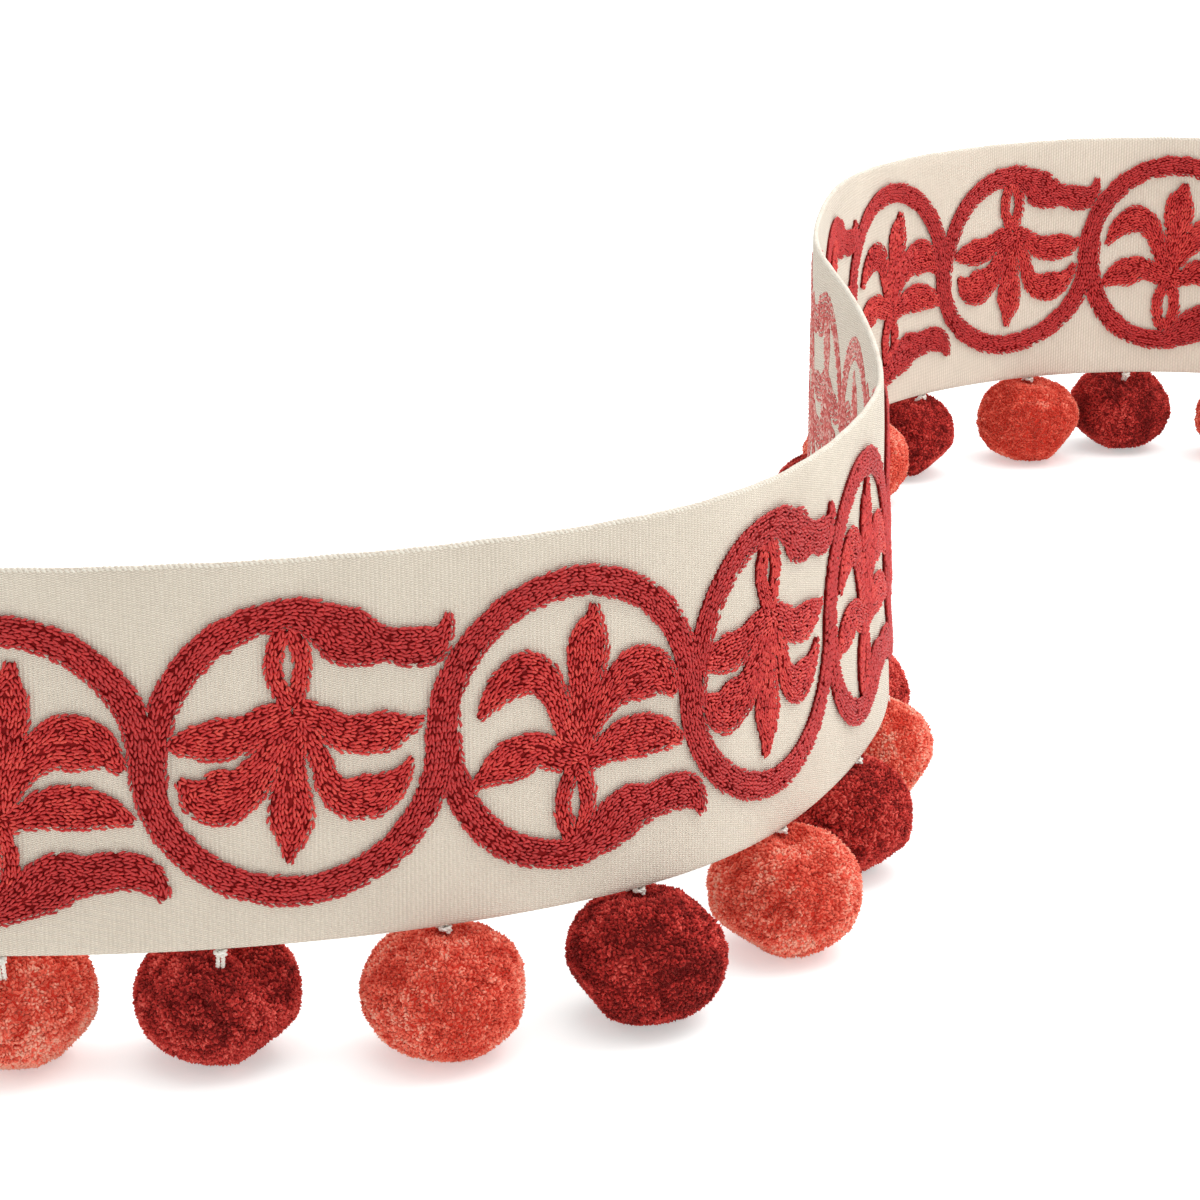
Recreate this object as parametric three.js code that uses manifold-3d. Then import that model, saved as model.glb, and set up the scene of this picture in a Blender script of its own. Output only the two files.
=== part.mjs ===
// Embroidered pompom trim: a ribbed tape standing on its edge in an S curve, on a row of pompoms.
// Millimetres, +Z up, the floor at Z 0. The embroidered face looks towards -Y at the near end.
import * as THREE from 'three';
import * as BufferGeometryUtils from 'three/addons/utils/BufferGeometryUtils.js';
import Module from 'manifold-3d';

const wasm = await Module();
wasm.setup();

// Tape
const tapeWidth = 76;
const tapeThickness = 1.2;
const edgeHeight = 27;
const ringPitch = 56;
const ringsOnTape = 13.6;
const tapeLength = ringsOnTape * ringPitch;
const panelTurn = 6;
const longestPanel = 23;
const seat = 0.3;

// The plan of the S curve: its first corner, and the heading in degrees at places along the tape
const planStart = { x: -191.2, y: -257.4 };
const bends = [
  { at: 0, heading: -7 },
  { at: 60, heading: 8 },
  { at: 120, heading: 24 },
  { at: 150, heading: 34 },
  { at: 180, heading: 50 },
  { at: 210, heading: 64 },
  { at: 240, heading: 71 },
  { at: 270, heading: 77 },
  { at: 300, heading: 87 },
  { at: 330, heading: 91 },
  { at: 418, heading: 95 },
  { at: 448, heading: 91 },
  { at: 477, heading: 85 },
  { at: 536, heading: 78 },
  { at: 566, heading: 66 },
  { at: 596, heading: 51 },
  { at: 656, heading: 22 },
  { at: 706, heading: -8 },
  { at: tapeLength, heading: -27 },
];

// How far the top edge leans out over the lower edge
const leans = [
  { at: 0, lean: 0 },
  { at: 200, lean: -1 },
  { at: 293, lean: -3 },
  { at: 400, lean: 0 },
  { at: tapeLength, lean: 0 },
];

// Embroidery: a running scroll of rings, each with five leaves that hang or rise inside it
const bandWidth = 6.3;
const stemWidth = 3.1;
const ringRadius = ringPitch / 2;
const ringSqueeze = 0.07;
const relief = 1;
const clearEnd = 1.5;
const flatGrid = 0.02;

// One ring's leaves: each is a run of places on the flat tape with the leaf's width there
const hangingRing = {
  flag: [
    { u: 34.5, v: 63.4, width: 9 },
    { u: 38.2, v: 61, width: 12 },
    { u: 42.4, v: 59.2, width: 9.8 },
    { u: 46.2, v: 58.6, width: 7 },
    { u: 50.6, v: 57.5, width: 8.2 },
    { u: 54.8, v: 57.6, width: 7.6 },
    { u: 57.3, v: 59.8, width: 4.6 },
    { u: 58.2, v: 63.2, width: 1.8 },
  ],
  stems: [
    [{ u: 26.6, v: 62 }, { u: 24.9, v: 57 }, { u: 25.1, v: 52.4 }, { u: 27.4, v: 47.2 }],
    [{ u: 28.4, v: 62 }, { u: 30.1, v: 57 }, { u: 30, v: 52.4 }, { u: 27.8, v: 47.2 }],
  ],
  leaves: [
    [
      { u: 28, v: 46, width: 6.5 },
      { u: 22.8, v: 44.2, width: 7 },
      { u: 18.4, v: 42.1, width: 7.8 },
      { u: 13.8, v: 41.4, width: 8.7 },
      { u: 9.6, v: 41.2, width: 6.8 },
      { u: 4.9, v: 41, width: 1.8 },
    ],
    [
      { u: 27, v: 42.5, width: 6 },
      { u: 23.4, v: 37, width: 6.4 },
      { u: 19.2, v: 32.2, width: 9 },
      { u: 14.6, v: 30.2, width: 11.8 },
      { u: 10.6, v: 30.6, width: 9.2 },
      { u: 6.7, v: 33.8, width: 2.2 },
    ],
    [
      { u: 28, v: 44, width: 5.5 },
      { u: 27.8, v: 36, width: 5.8 },
      { u: 27.5, v: 31, width: 7.6 },
      { u: 27.4, v: 26.6, width: 9.2 },
      { u: 27.5, v: 22.6, width: 7.8 },
      { u: 26.7, v: 16.2, width: 2 },
    ],
    [
      { u: 28.5, v: 46, width: 6.5 },
      { u: 33.6, v: 44.2, width: 5.4 },
      { u: 37.6, v: 41.2, width: 7.4 },
      { u: 42.2, v: 40.4, width: 8.4 },
      { u: 46.6, v: 40.6, width: 8.2 },
      { u: 53.4, v: 42.4, width: 1.6 },
    ],
    [
      { u: 29.5, v: 43.5, width: 5 },
      { u: 32.9, v: 37.4, width: 4.4 },
      { u: 34.4, v: 32.2, width: 5.4 },
      { u: 37.6, v: 28.6, width: 7.8 },
      { u: 42.3, v: 28, width: 9.6 },
      { u: 46.3, v: 29.4, width: 7.2 },
      { u: 50.9, v: 34.8, width: 1.8 },
    ],
  ],
};
const risingRing = {
  flag: [
    { u: 34, v: 12.2, width: 8.4 },
    { u: 38, v: 14.6, width: 11 },
    { u: 41.6, v: 16.4, width: 11 },
    { u: 46, v: 16.8, width: 8.2 },
    { u: 51.6, v: 17.6, width: 8.2 },
    { u: 56.2, v: 16.8, width: 7.6 },
    { u: 59.2, v: 14.2, width: 5 },
    { u: 60.2, v: 11.4, width: 2.4 },
  ],
  stems: [
    [{ u: 28.2, v: 12.6 }, { u: 26.4, v: 18 }, { u: 26.6, v: 23.4 }, { u: 29, v: 28.6 }],
    [{ u: 29.4, v: 12.6 }, { u: 31.7, v: 18 }, { u: 31.7, v: 23.4 }, { u: 29.8, v: 28.6 }],
  ],
  leaves: [
    [
      { u: 29.5, v: 29, width: 6.5 },
      { u: 25, v: 31, width: 6.4 },
      { u: 20.6, v: 32.7, width: 7.6 },
      { u: 16, v: 31.6, width: 9.4 },
      { u: 12.2, v: 30.2, width: 7.2 },
      { u: 7.4, v: 26.6, width: 1.8 },
    ],
    [
      { u: 29, v: 31, width: 4.8 },
      { u: 26.6, v: 37.2, width: 5 },
      { u: 24.8, v: 42.8, width: 6 },
      { u: 22.2, v: 47, width: 7.6 },
      { u: 18.2, v: 48.6, width: 8.8 },
      { u: 14, v: 46.6, width: 7.2 },
      { u: 9, v: 40.6, width: 2 },
    ],
    [
      { u: 29.6, v: 31, width: 5.5 },
      { u: 30.7, v: 39.5, width: 5.8 },
      { u: 31.6, v: 44.5, width: 7.8 },
      { u: 32, v: 50, width: 9.6 },
      { u: 32.4, v: 54.3, width: 8.6 },
      { u: 33.6, v: 60, width: 2.2 },
    ],
    [
      { u: 29.5, v: 29, width: 6.5 },
      { u: 34.4, v: 29.8, width: 5.8 },
      { u: 38.6, v: 31.4, width: 8.4 },
      { u: 43.4, v: 31.7, width: 9.4 },
      { u: 48.4, v: 31, width: 7.8 },
      { u: 54.8, v: 28.4, width: 2 },
    ],
    [
      { u: 30.3, v: 32, width: 5 },
      { u: 34.3, v: 38.4, width: 6 },
      { u: 38.8, v: 42.8, width: 9 },
      { u: 43.4, v: 44.4, width: 11.6 },
      { u: 48, v: 43.4, width: 9.8 },
      { u: 53, v: 38.4, width: 2.4 },
    ],
  ],
};

// How far each ring strays from the even repeat: its leaves, its flag, and its half of the vine
const ringDrift = [
  { leaves: [-1.2, -1.8], flag: [-1.4, -0.5], vine: -1.5 },
  { leaves: [-0.5, 0.5], flag: [0.8, -0.4], vine: 1 },
  { leaves: [-1, 0.5], flag: [-1, 1], vine: -0.2 },
  { leaves: [-2.5, 2.4], flag: [-0.5, 1], vine: 2.2 },
  { leaves: [-2.4, 2], flag: [-2, 1.6], vine: 0 },
  { leaves: [0, 0.5], flag: [0.5, 0.5], vine: 0.5 },
  { leaves: [0.5, -0.5], flag: [0, 0], vine: 0 },
  { leaves: [-0.5, 0.5], flag: [0.5, 0], vine: 0.6 },
  { leaves: [0.8, 0], flag: [-0.5, 0.5], vine: 0 },
  { leaves: [0, 0.6], flag: [0, -0.5], vine: 0.5 },
  { leaves: [0.4, 0.2], flag: [-1, 0], vine: 0.7 },
  { leaves: [0.7, 1.5], flag: [2, 0], vine: 2 },
  { leaves: [-2.6, 1.5], flag: [-2.6, 0.8], vine: 1.2 },
  { leaves: [-1.5, 1], flag: [-1, 0.5], vine: 1 },
];

// Pompoms: where each hangs along the tape, and how far its middle swings behind the tape
const pompoms = [
  { at: 27.5, behind: 13 },
  { at: 69, behind: 12 },
  { at: 113, behind: 1.5 },
  { at: 156, behind: -2 },
  { at: 202, behind: -0.5 },
  { at: 250, behind: 4 },
  { at: 295, behind: 5 },
  { at: 340, behind: 6.5 },
  { at: 384, behind: 7 },
  { at: 430, behind: 4 },
  { at: 478, behind: 1 },
  { at: 526, behind: -1.5 },
  { at: 573, behind: 1 },
  { at: 610, behind: 8 },
  { at: 654, behind: 0.5 },
  { at: 687, behind: 9 },
  { at: 726, behind: 1 },
];
const pompomRadius = 16.2;
const pompomHeight = 26.3;
const ballFullness = 2.3;
const coreShare = 0.92;
const lumpShare = 0.035;
const locksPerPompom = 11;
const lockWidth = 4.2;

// Loops: a doubled cord from the back of the tape down into the pompom
const cordRadius = 0.65;
const loopSpread = 2.6;
const loopTop = 7;
const loopReach = 4.5;

const colours = {
  tape: { color: 0xe9e3d4, roughness: 0.9, metalness: 0 },
  thread: { color: 0xb22a30, roughness: 0.6, metalness: 0 },
  coral: { color: 0xd6553e, roughness: 0.95, metalness: 0 },
  crimson: { color: 0x962320, roughness: 0.95, metalness: 0 },
  cord: { color: 0xf0ece2, roughness: 0.85, metalness: 0 },
};

// A value read from a table of places along the tape, on a smooth curve through its rows
function smoothValue(rows, key, at) {
  const last = rows.length - 1;
  let row = 0;
  while (row < last - 1 && at > rows[row + 1].at) row += 1;
  const slope = (index) => {
    const before = rows[Math.max(index - 1, 0)];
    const after = rows[Math.min(index + 1, last)];
    return (after[key] - before[key]) / (after.at - before.at);
  };
  const span = rows[row + 1].at - rows[row].at;
  const t = (at - rows[row].at) / span;
  const rise = t * t * (3 - 2 * t);
  const ease = slope(row) * span * t * (1 - t) * (1 - t) - slope(row + 1) * span * t * t * (1 - t);
  return rows[row][key] * (1 - rise) + rows[row + 1][key] * rise + ease;
}

function headingAt(along) {
  return THREE.MathUtils.degToRad(smoothValue(bends, 'heading', along));
}

// The corners between the tape's flat panels: one wherever the S curve has turned far enough
function walkPlan() {
  const step = 0.4;
  const found = [];
  let { x, y } = planStart;
  for (let along = 0; along < tapeLength - longestPanel / 4; along += step) {
    const heading = headingAt(along);
    const last = found.at(-1);
    const turned = last && Math.abs(heading - last.heading) > THREE.MathUtils.degToRad(panelTurn);
    if (!last || turned || along - last.along > longestPanel) {
      found.push({ along, x, y, heading, lean: smoothValue(leans, 'lean', along) });
    }
    const turn = headingAt(along + step / 2);
    x += Math.cos(turn) * step;
    y += Math.sin(turn) * step;
  }
  const last = found.at(-1);
  const rest = tapeLength - last.along;
  const turn = headingAt(last.along + rest / 2);
  x = last.x + Math.cos(turn) * rest;
  y = last.y + Math.sin(turn) * rest;
  found.push({ along: tapeLength, x, y, heading: headingAt(tapeLength), lean: 0 });
  return found;
}

const corners = walkPlan();
const panelCount = corners.length - 1;

function cornerPoint(index, up, out) {
  const { x, y, heading, lean } = corners[index];
  const reach = out + lean * (up / tapeWidth - 0.5);
  return new THREE.Vector3(x + Math.sin(heading) * reach, y - Math.cos(heading) * reach, edgeHeight + up);
}

// A place on the standing tape: along it, up from its lower edge, and out from its middle plane
function onTape(along, up, out) {
  let panel = 0;
  while (panel < panelCount - 1 && along > corners[panel + 1].along) panel += 1;
  const from = corners[panel].along;
  const share = (along - from) / (corners[panel + 1].along - from);
  return cornerPoint(panel, up, out).lerp(cornerPoint(panel + 1, up, out), share);
}

function closedGeometry(points, triangles) {
  const geometry = new THREE.BufferGeometry();
  const flat = points.flatMap((point) => [point.x, point.y, point.z]);
  geometry.setAttribute('position', new THREE.Float32BufferAttribute(flat, 3));
  geometry.setIndex(triangles);
  return geometry;
}

function toSolid(geometry) {
  const bare = geometry.clone();
  bare.deleteAttribute('normal');
  bare.deleteAttribute('uv');
  const merged = BufferGeometryUtils.mergeVertices(bare, 1e-4);
  const vertProperties = new Float32Array(merged.attributes.position.array);
  const triVerts = new Uint32Array(merged.index.array);
  return new wasm.Manifold(new wasm.Mesh({ numProp: 3, vertProperties, triVerts }));
}

function fromSolid(solid) {
  const { vertProperties, triVerts, numProp } = solid.getMesh();
  const points = [];
  for (let i = 0; i < vertProperties.length; i += numProp) {
    points.push(new THREE.Vector3(vertProperties[i], vertProperties[i + 1], vertProperties[i + 2]));
  }
  return closedGeometry(points, Array.from(triVerts));
}

// A tube of sections, each a closed row of the same number of points, capped at both ends
function skinSections(sections) {
  const count = sections[0].length;
  const triangles = [];
  for (let i = 0; i < sections.length - 1; i += 1) {
    for (let k = 0; k < count; k += 1) {
      const a = i * count + k;
      const b = i * count + ((k + 1) % count);
      triangles.push(a, b, a + count, b, b + count, a + count);
    }
  }
  const end = (sections.length - 1) * count;
  for (let k = 1; k < count - 1; k += 1) {
    triangles.push(0, k + 1, k);
    triangles.push(end, end + k, end + k + 1);
  }
  return closedGeometry(sections.flat(), triangles);
}

function makeTape() {
  const half = tapeThickness / 2;
  const sections = corners.map((corner, index) => [
    cornerPoint(index, 0, half),
    cornerPoint(index, 0, -half),
    cornerPoint(index, tapeWidth, -half),
    cornerPoint(index, tapeWidth, half),
  ]);
  return skinSections(sections);
}

// The outline of a band or leaf: its stations widened to both sides, on a curve between them
function outlineOf(stations, cuts) {
  const middle = new THREE.CatmullRomCurve3(
    stations.map((station) => new THREE.Vector3(station.u, station.v, station.width ?? stemWidth)),
    false,
    'catmullrom',
    0.5,
  );
  const count = (stations.length - 1) * cuts;
  const near = [];
  const far = [];
  for (let i = 0; i <= count; i += 1) {
    const place = middle.getPoint(i / count);
    const way = middle.getTangent(i / count);
    const side = new THREE.Vector2(-way.y, way.x).setLength(place.z / 2);
    near.push(new THREE.Vector2(place.x + side.x, place.y + side.y));
    far.push(new THREE.Vector2(place.x - side.x, place.y - side.y));
  }
  return [...far, ...near.reverse()];
}

function flatSlab(outline, shift) {
  const moved = outline.map((point) => new THREE.Vector2(point.x + shift, point.y));
  return toSolid(new THREE.ExtrudeGeometry(new THREE.Shape(moved), { depth: relief, bevelEnabled: false }));
}

// The vine is one wave of half rings, under the hanging leaves and over the rising ones
function vineStations(firstRing, lastRing) {
  const steps = 8;
  const stations = [];
  for (let ring = firstRing; ring <= lastRing; ring += 1) {
    const side = ring % 2 === 0 ? 1 : -1;
    const rise = side * ringRadius + (ringDrift[ring]?.vine ?? 0);
    for (let i = 0; i < steps; i += 1) {
      const angle = (Math.PI * i) / steps;
      const u = ring * ringPitch + ringRadius - ringRadius * Math.cos(angle);
      const v = tapeWidth / 2 + rise * Math.sin(angle);
      stations.push({ u, v, width: bandWidth });
    }
  }
  return stations;
}

// The branch grows out of the vine, closes a ring on its open side and ends in the flag
function branchStations(side, [driftU, driftV]) {
  const swell = [0.4, 0.72, 0.95, 1, 1, 1];
  return swell.map((share, index) => {
    const turn = THREE.MathUtils.degToRad(23 * index - 25);
    const radius = ringRadius * (1 - ringSqueeze * Math.cos(turn) ** 2);
    const drifted = Math.min(Math.max(index - 1, 0) / 3, 1);
    const u = ringRadius - radius * Math.cos(turn) + driftU * drifted;
    const v = tapeWidth / 2 + side * radius * Math.sin(turn) + driftV * drifted;
    return { u, v, width: bandWidth * share };
  });
}

function drifted(stations, [driftU, driftV]) {
  return stations.map(({ u, v, width }) => ({ u: u + driftU, v: v + driftV, width }));
}

function flatScroll() {
  const ringCount = Math.ceil(ringsOnTape);
  let scroll = flatSlab(outlineOf(vineStations(0, ringCount), 1), 0);
  for (let ring = 0; ring < ringCount; ring += 1) {
    const rises = ring % 2 === 0;
    const design = rises ? risingRing : hangingRing;
    const { leaves, flag } = ringDrift[ring];
    const branch = [...branchStations(rises ? -1 : 1, flag), ...drifted(design.flag, flag)];
    const inner = [...design.stems, ...design.leaves].map((stations) => drifted(stations, leaves));
    const pieces = [branch, ...inner];
    for (const piece of pieces) {
      scroll = scroll.add(flatSlab(outlineOf(piece, 1), ring * ringPitch));
    }
  }
  return scroll;
}

function flatBox(fromU, toU) {
  const box = new THREE.BoxGeometry(toU - fromU, tapeWidth * 2, relief * 4);
  box.translate((fromU + toU) / 2, tapeWidth / 2, 0);
  return toSolid(box);
}

// The flat scroll is cut at the tape's panel corners, and each strip is laid on its own panel.
// Places are rounded to a fine grid, so two strips share their points and tiny edges close up.
function makeEmbroidery() {
  const scroll = flatScroll();
  const flat = [];
  const numbers = new Map();
  const triangles = [];
  const numberOf = (place) => {
    const [u, v, height] = Array.from(place, (value) => Math.round(value / flatGrid));
    const known = [v, v - 1, v + 1].map((near) => `${u} ${near} ${height}`).find((key) => numbers.has(key));
    if (known) return numbers.get(known);
    numbers.set(`${u} ${v} ${height}`, flat.length);
    flat.push({ u: u * flatGrid, v: v * flatGrid, height: height * flatGrid });
    return flat.length - 1;
  };
  for (let panel = 0; panel < panelCount; panel += 1) {
    const isFirst = panel === 0;
    const isLast = panel === panelCount - 1;
    const fromU = isFirst ? clearEnd : corners[panel].along;
    const toU = isLast ? tapeLength - clearEnd : corners[panel + 1].along;
    const { vertProperties, triVerts } = scroll.intersect(flatBox(fromU, toU)).getMesh();
    const liesOn = (face, border) => face.every((vertex) => (
      Math.abs(vertProperties[vertex * 3] - border) < flatGrid / 2
    ));
    for (let i = 0; i < triVerts.length; i += 3) {
      const face = Array.from(triVerts.slice(i, i + 3));
      const isCut = (!isFirst && liesOn(face, fromU)) || (!isLast && liesOn(face, toU));
      const ends = face.map((vertex) => numberOf(vertProperties.slice(vertex * 3, vertex * 3 + 3)));
      if (!isCut && new Set(ends).size === 3) triangles.push(ends);
    }
  }
  closeSeams(flat, triangles);
  const rise = tapeThickness / 2 + seat;
  const points = flat.map((place) => onTape(place.u, place.v, rise + place.height));
  return closedGeometry(points, triangles.flat());
}

// Where a strip has a point in the middle of its neighbour's edge, that edge's triangle is split
function closeSeams(flat, triangles) {
  const isBetween = (middle, a, b) => (
    flat[middle].u === flat[a].u && flat[a].u === flat[b].u
    && flat[middle].height === flat[a].height && flat[a].height === flat[b].height
    && (flat[middle].v - flat[a].v) * (flat[b].v - flat[middle].v) > 0
  );
  for (let round = 0; round < 4; round += 1) {
    const edges = new Map();
    triangles.forEach((face, index) => face.forEach((from, k) => {
      edges.set(`${from} ${face[(k + 1) % 3]}`, { index, from, to: face[(k + 1) % 3], tip: face[(k + 2) % 3] });
    }));
    const open = [...edges.values()].filter(({ from, to }) => !edges.has(`${to} ${from}`));
    const loose = [...new Set(open.flatMap(({ from, to }) => [from, to]))];
    const split = new Set();
    for (const { index, from, to, tip } of open) {
      const middle = loose.find((vertex) => isBetween(vertex, from, to));
      if (middle === undefined || split.has(index)) continue;
      triangles[index] = [from, middle, tip];
      triangles.push([middle, to, tip]);
      split.add(index);
    }
    if (split.size === 0) return;
  }
}

// How far a full, slightly squared ball reaches in a direction from its middle
function fullBall(way) {
  const round = Math.hypot(way.x, way.y) ** ballFullness;
  return (round + Math.abs(way.z) ** ballFullness) ** (-1 / ballFullness);
}

// A lumpy ball with a level spot under it, its lumps pushed in and out by the face points
function pompomCore(seed) {
  const ball = new THREE.IcosahedronGeometry(1, 2);
  ball.deleteAttribute('normal');
  ball.deleteAttribute('uv');
  const core = BufferGeometryUtils.mergeVertices(ball, 1e-4);
  const place = core.attributes.position;
  const halfHeight = pompomHeight / 2;
  for (let i = 0; i < place.count; i += 1) {
    const way = new THREE.Vector3().fromBufferAttribute(place, i).normalize();
    const wave = Math.sin(way.x * 7 + seed * 1.7) + Math.sin(way.y * 8 - seed) + Math.sin(way.z * 6 + seed * 2.3);
    const share = fullBall(way) * (coreShare + lumpShare * wave * (1 - Math.abs(way.z) ** 3));
    const x = way.x * pompomRadius * share;
    const y = way.y * pompomRadius * share;
    const z = halfHeight + way.z * halfHeight * (share + (1 - coreShare) * Math.abs(way.z));
    place.setXYZ(i, x, y, way.z < -0.84 ? 0 : Math.min(Math.max(z, 0), pompomHeight));
  }
  return toSolid(core);
}

// Short three-sided locks that stand out of the ball, none of them under it or at its tie
function pompomLocks(seed) {
  const locks = [];
  const halfHeight = pompomHeight / 2;
  for (let i = 0; i < locksPerPompom; i += 1) {
    const height = -0.55 + (1.2 * (i + 0.5)) / locksPerPompom;
    const turn = i * 2.4 + seed;
    const round = Math.sqrt(1 - height * height);
    const way = new THREE.Vector3(Math.cos(turn) * round, Math.sin(turn) * round, height);
    const reach = fullBall(way);
    const tip = new THREE.Vector3(way.x * pompomRadius, way.y * pompomRadius, way.z * halfHeight);
    tip.multiplyScalar(reach).setZ(tip.z + halfHeight);
    const lock = new THREE.ConeGeometry(lockWidth / 2, 7, 3);
    lock.translate(0, -3.5, 0);
    const aim = new THREE.Quaternion().setFromUnitVectors(new THREE.Vector3(0, 1, 0), way);
    lock.applyQuaternion(aim);
    lock.translate(tip.x, tip.y, tip.z);
    locks.push(toSolid(lock));
  }
  return locks;
}

function pompomMiddle({ at, behind }) {
  const foot = onTape(at, 0, 0);
  const heading = headingAt(at);
  return new THREE.Vector3(foot.x - Math.sin(heading) * behind, foot.y + Math.cos(heading) * behind, 0);
}

// The slot in the pile that the tie goes down into
function tieSlot(way) {
  const depth = 2 * (loopReach + seat);
  const slot = new THREE.BoxGeometry(loopSpread + 2 * (cordRadius + seat), 2 * (cordRadius + seat), depth);
  slot.rotateZ(headingAt(way.at));
  const side = tieOffset(way);
  const heading = headingAt(way.at);
  slot.translate(-Math.sin(heading) * side, Math.cos(heading) * side, pompomHeight);
  return toSolid(slot);
}

// The tie goes down beside the tape's back, so it meets a pompom under the tape off its middle
function tieOffset({ behind }) {
  const nearest = tapeThickness / 2 + seat + cordRadius;
  return Math.max(nearest - behind, 0);
}

function makePompom(way, index) {
  let body = pompomCore(index + 1);
  for (const lock of pompomLocks(index + 1)) body = body.add(lock);
  return fromSolid(body.subtract(tieSlot(way)));
}

// The doubled cord: down from the tape's back, round inside the pompom's top and up again
function makeLoop(way) {
  const heading = headingAt(way.at);
  const backOut = tapeThickness / 2 + seat + cordRadius;
  const tieOut = way.behind + tieOffset(way);
  const legShape = [
    { out: backOut, height: edgeHeight + loopTop },
    { out: backOut, height: edgeHeight + 2 },
    { out: (backOut + tieOut) / 2, height: edgeHeight + (tieOut - backOut > 2 ? 1.2 : 0.5) },
    { out: tieOut, height: pompomHeight + (tieOut - backOut > 2 ? 0.6 : 0) },
    { out: tieOut, height: pompomHeight - loopReach + cordRadius },
  ];
  const place = (along, { out, height }) => {
    const beside = onTape(way.at + along, Math.max(height - edgeHeight, 0), 0);
    return beside.add(new THREE.Vector3(-Math.sin(heading) * out, Math.cos(heading) * out, 0)).setZ(height);
  };
  const legs = [
    ...legShape.map((row) => place(-loopSpread / 2, row)),
    ...legShape.map((row) => place(loopSpread / 2, row)).reverse(),
  ];
  const sideways = new THREE.Vector3(Math.cos(heading), Math.sin(heading), 0);
  const sections = legs.map((point, index) => {
    const before = legs[Math.max(index - 1, 0)];
    const after = legs[Math.min(index + 1, legs.length - 1)];
    const forward = after.clone().sub(before).normalize();
    const across = new THREE.Vector3(-Math.sin(heading), Math.cos(heading), 0);
    across.addScaledVector(forward, -across.dot(forward)).normalize();
    const other = forward.clone().cross(across).normalize();
    return [0, 1, 2, 3].map((corner) => {
      const turn = (Math.PI / 2) * corner;
      const reach = across.clone().multiplyScalar(Math.cos(turn) * cordRadius);
      return point.clone().add(reach).addScaledVector(other, Math.sin(turn) * cordRadius);
    });
  });
  return skinSections(sections);
}

function makeMesh(name, geometry, look) {
  geometry.computeVertexNormals();
  const mesh = new THREE.Mesh(geometry, new THREE.MeshStandardMaterial(look));
  mesh.name = name;
  return mesh;
}

const group = new THREE.Group();
group.add(makeMesh('tape', makeTape(), colours.tape));
group.add(makeMesh('embroidery', makeEmbroidery(), colours.thread));
pompoms.forEach((way, index) => {
  const number = String(index + 1).padStart(2, '0');
  const look = index % 2 === 0 ? colours.coral : colours.crimson;
  const pompom = makeMesh(`pompom_${number}`, makePompom(way, index), look);
  pompom.position.copy(pompomMiddle(way));
  group.add(pompom);
  group.add(makeMesh(`loop_${number}`, makeLoop(way), colours.cord));
});

export default group;
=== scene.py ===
import math

import bpy
import numpy as np
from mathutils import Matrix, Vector


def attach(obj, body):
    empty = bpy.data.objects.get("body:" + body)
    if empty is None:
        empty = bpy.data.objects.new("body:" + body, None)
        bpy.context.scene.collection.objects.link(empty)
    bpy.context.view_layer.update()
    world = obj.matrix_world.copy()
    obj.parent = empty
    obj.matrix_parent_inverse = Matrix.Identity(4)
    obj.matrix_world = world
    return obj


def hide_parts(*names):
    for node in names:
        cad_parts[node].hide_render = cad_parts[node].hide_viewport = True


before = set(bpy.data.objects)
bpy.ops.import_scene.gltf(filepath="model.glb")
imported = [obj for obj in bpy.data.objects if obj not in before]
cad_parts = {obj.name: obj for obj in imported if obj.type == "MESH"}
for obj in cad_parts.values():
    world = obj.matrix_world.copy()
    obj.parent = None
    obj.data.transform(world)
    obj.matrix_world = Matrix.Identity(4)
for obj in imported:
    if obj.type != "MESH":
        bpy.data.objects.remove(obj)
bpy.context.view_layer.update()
mm = 0.001
print("frame loaded")


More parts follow.
